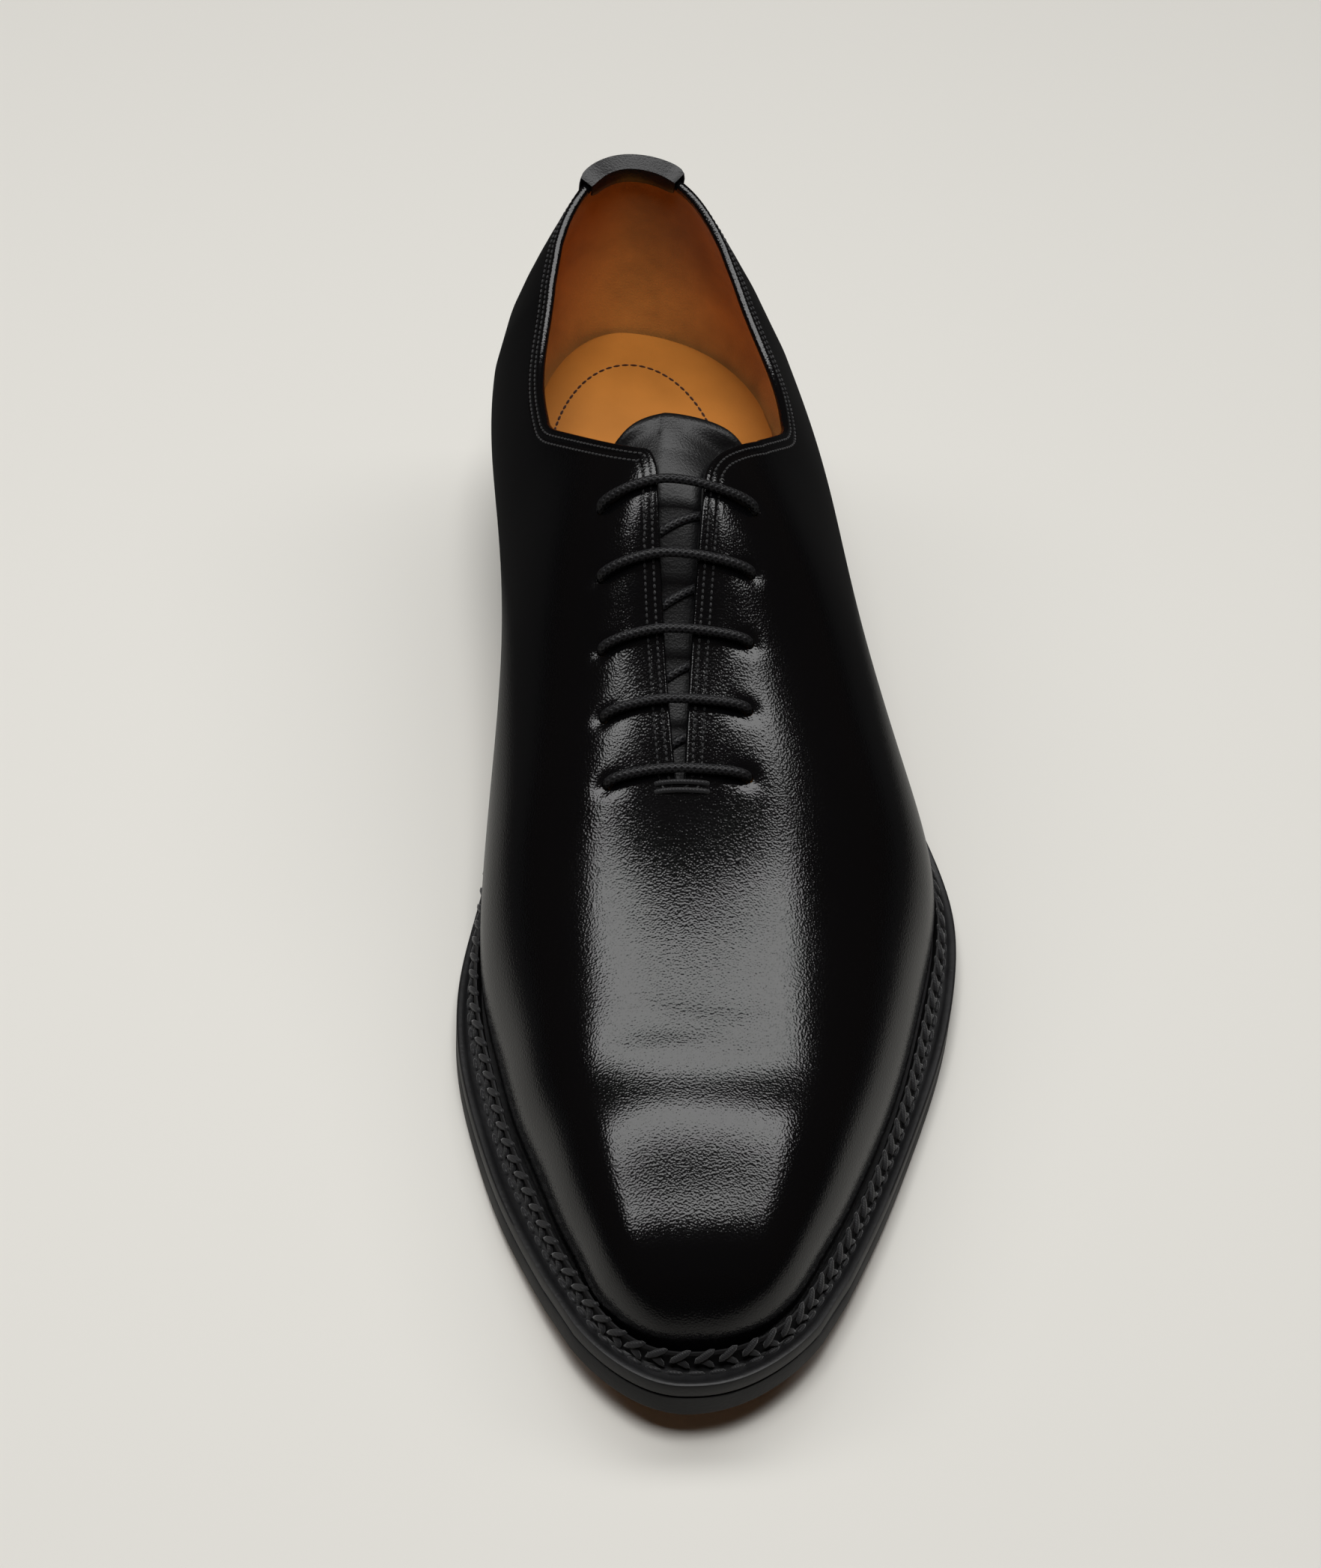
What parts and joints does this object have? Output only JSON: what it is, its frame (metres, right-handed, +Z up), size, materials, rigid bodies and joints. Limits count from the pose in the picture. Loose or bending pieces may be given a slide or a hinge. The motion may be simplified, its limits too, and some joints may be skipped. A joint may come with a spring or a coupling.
{
  "type": "whole cut oxford dress shoe",
  "caption": "Left dress shoe with a one-piece upper, closed lacing, storm welt and stacked heel, empty and standing on its sole.",
  "frame": {"origin": "middle of the shoe's outline on the floor", "axes": "+X to the shoe's outer side, -Y to the toe, +Z up"},
  "size_m": [0.1115, 0.3029, 0.0987],
  "materials": {
    "black_calf": "polished calf",
    "waxed_cord": "waxed round braid",
    "tan_leather": "smooth vegetable tan",
    "black_edge": "inked and waxed edge",
    "sole_leather": "bare sole leather",
    "top_piece_rubber": "plain"
  },
  "bodies": {
    "root": {"upper": "black_calf", "heel_tab": "black_calf", "tongue": "black_calf", "lace": "waxed_cord", "insole": "tan_leather", "welt": "black_edge", "heel_rand": "black_edge", "outsole": "sole_leather", "heel_stack": "black_edge", "heel_top_piece": "top_piece_rubber"}
  },
  "joints": []
}
